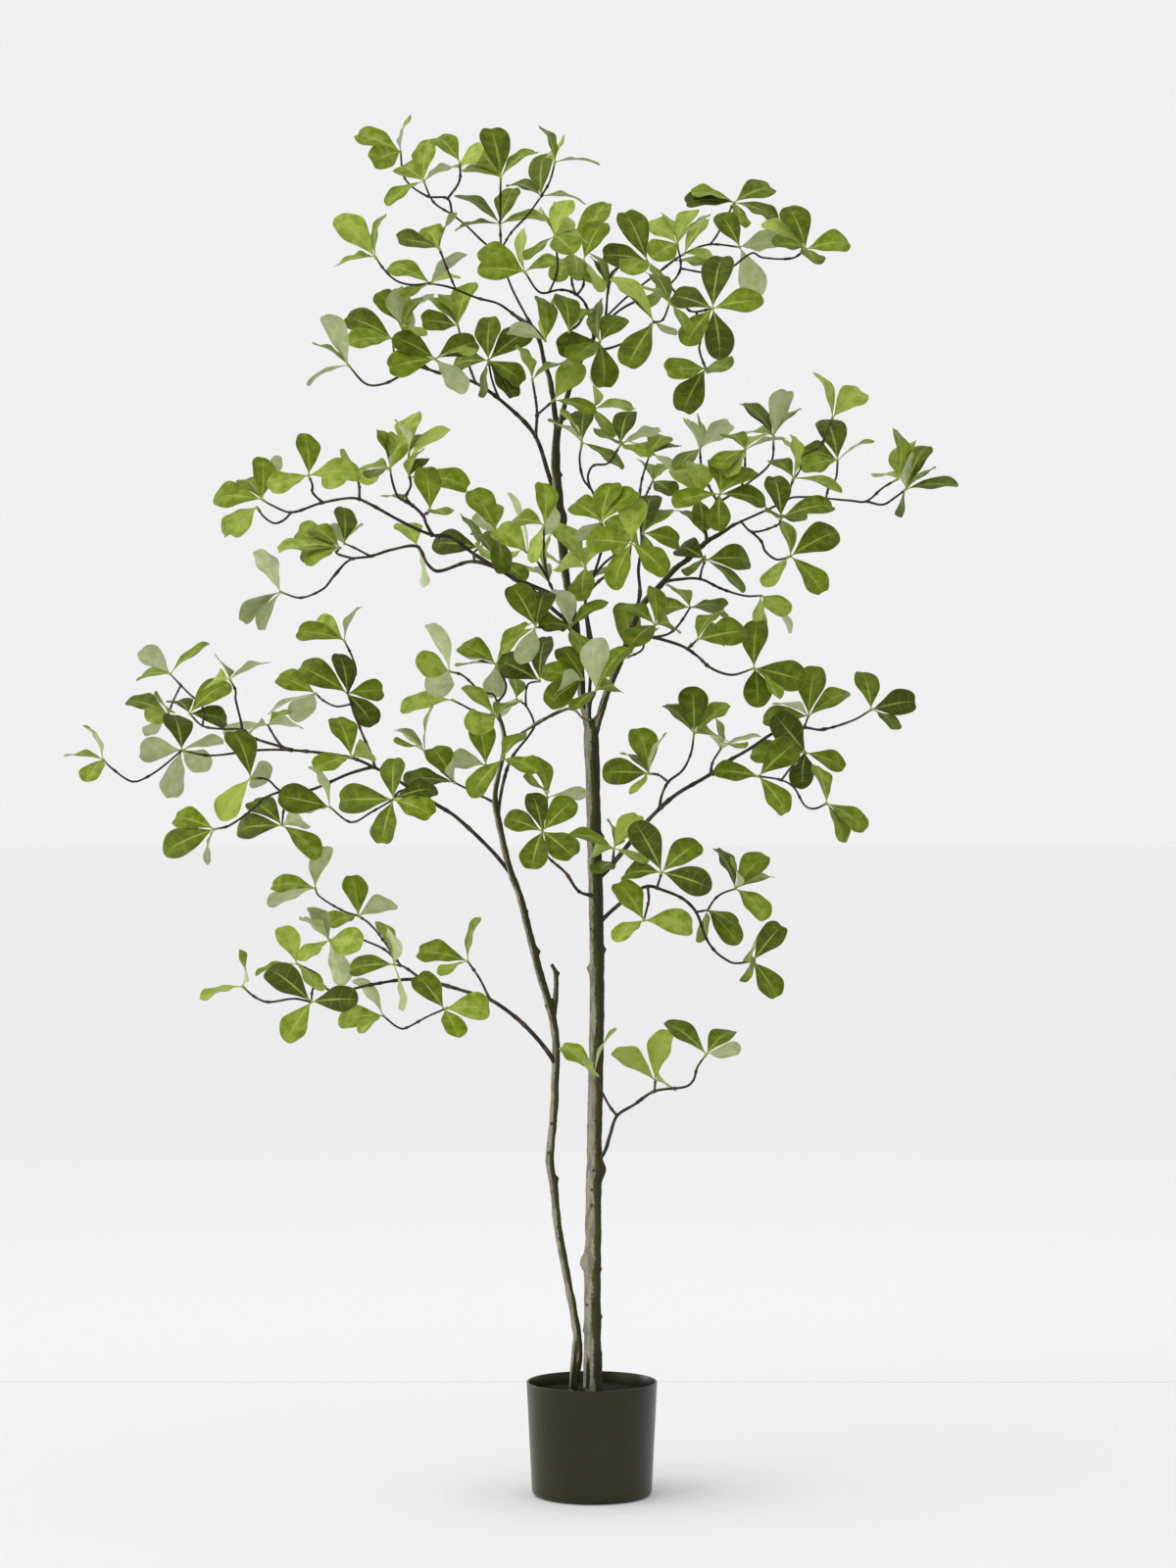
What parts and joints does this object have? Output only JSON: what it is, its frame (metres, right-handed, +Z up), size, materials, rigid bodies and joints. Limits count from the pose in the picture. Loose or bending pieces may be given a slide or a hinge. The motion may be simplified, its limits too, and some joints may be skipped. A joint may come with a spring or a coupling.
{
  "type": "potted black olive tree",
  "caption": "Slim two-stemmed black olive tree with tiered, open branches and whorls of rounded leaves, in a plain dark tapered pot.",
  "frame": {"origin": "centre of the pot's base, on the surface that it stands on", "axes": "+Z up along the trunk; the crown is widest along X, with its longer side towards -X; the front faces -Y"},
  "size_m": [1.3788, 0.7956, 2.1861],
  "materials": {
    "pot_plastic": "satin near-black, faint scuffs",
    "filling": "rough dark cast filling with a crumbly top",
    "bark": "grey-brown bark with fine cracks and small knots",
    "foliage": "soft satin olive green leaves, paler underneath, with brown twigs"
  },
  "bodies": {
    "root": {"branch_centre": "foliage", "branch_fork_left": "foliage", "branch_high_middle": "foliage", "branch_left_high": "foliage", "branch_left_inner": "foliage", "branch_left_long": "foliage", "branch_left_low": "foliage", "branch_left_main": "foliage", "branch_left_near": "foliage", "branch_lowest": "foliage", "branch_right": "foliage", "branch_right_centre": "foliage", "branch_right_long": "foliage", "branch_right_low": "foliage", "branch_right_mid": "foliage", "branch_right_under": "foliage", "branch_right_upper": "foliage", "branch_stem_back": "foliage", "branch_stem_front": "foliage", "branch_stem_left": "foliage", "branch_stem_low": "foliage", "branch_stem_mid": "foliage", "branch_stem_right": "foliage", "branch_stem_top": "foliage", "branch_top_left_high": "foliage", "branch_top_left_side": "foliage", "branch_top_middle": "foliage", "branch_top_right_high": "foliage", "branch_top_right_low": "foliage", "branch_top_right_under": "foliage", "branch_upper_left": "foliage", "pot": "pot_plastic", "potting_fill": "filling", "side_stem": "bark", "trunk": "bark"}
  },
  "joints": []
}
